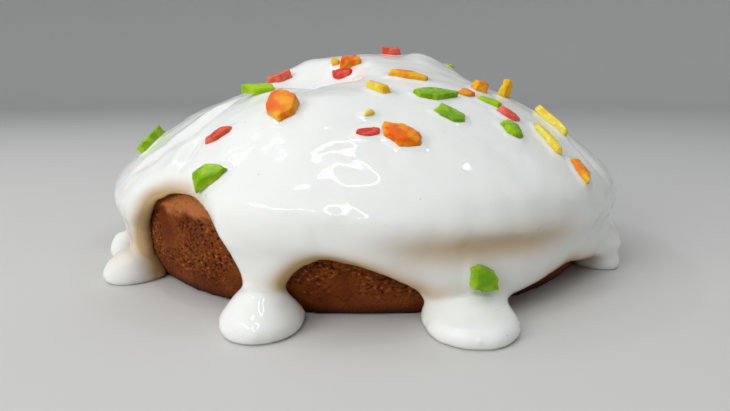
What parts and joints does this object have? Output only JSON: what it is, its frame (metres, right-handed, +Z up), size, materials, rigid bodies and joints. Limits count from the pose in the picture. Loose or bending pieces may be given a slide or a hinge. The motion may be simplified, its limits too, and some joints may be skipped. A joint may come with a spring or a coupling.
{
  "type": "kulich",
  "caption": "Low round festive loaf under white icing that runs down its side in drips and settles in small pools, scattered with chips of candied fruit.",
  "frame": {"origin": "middle of the whole kulich's box, on the surface that it stands on", "axes": "+Z up through the crown; -Y points to the side that the picture shows, with two pools of icing in front; +X to that view's right"},
  "size_m": [0.225, 0.2272, 0.0875],
  "materials": {
    "crust": "baked crust, dry and finely pitted",
    "icing": "set white icing, smooth and glossy",
    "fruit_red": "candied, slightly clear",
    "fruit_amber": "candied, slightly clear",
    "fruit_yellow": "candied, slightly clear",
    "fruit_green": "candied, slightly clear"
  },
  "bodies": {
    "root": {"loaf": "crust", "icing": "icing", "fruit_red_1": "fruit_red", "fruit_red_2": "fruit_red", "fruit_red_3": "fruit_red", "fruit_red_4": "fruit_red", "fruit_red_5": "fruit_red", "fruit_red_6": "fruit_red", "fruit_red_7": "fruit_red", "fruit_amber_1": "fruit_amber", "fruit_amber_2": "fruit_amber", "fruit_amber_3": "fruit_amber", "fruit_amber_4": "fruit_amber", "fruit_amber_5": "fruit_amber", "fruit_amber_6": "fruit_amber", "fruit_amber_7": "fruit_amber", "fruit_amber_8": "fruit_amber", "fruit_amber_9": "fruit_amber", "fruit_amber_10": "fruit_amber", "fruit_amber_11": "fruit_amber", "fruit_yellow_1": "fruit_yellow", "fruit_yellow_2": "fruit_yellow", "fruit_yellow_3": "fruit_yellow", "fruit_yellow_4": "fruit_yellow", "fruit_yellow_5": "fruit_yellow", "fruit_yellow_6": "fruit_yellow", "fruit_yellow_7": "fruit_yellow", "fruit_yellow_8": "fruit_yellow", "fruit_green_1": "fruit_green", "fruit_green_2": "fruit_green", "fruit_green_3": "fruit_green", "fruit_green_4": "fruit_green", "fruit_green_5": "fruit_green", "fruit_green_6": "fruit_green", "fruit_green_7": "fruit_green", "fruit_green_8": "fruit_green", "fruit_green_9": "fruit_green", "fruit_green_10": "fruit_green", "fruit_green_11": "fruit_green", "fruit_green_12": "fruit_green"}
  },
  "joints": []
}
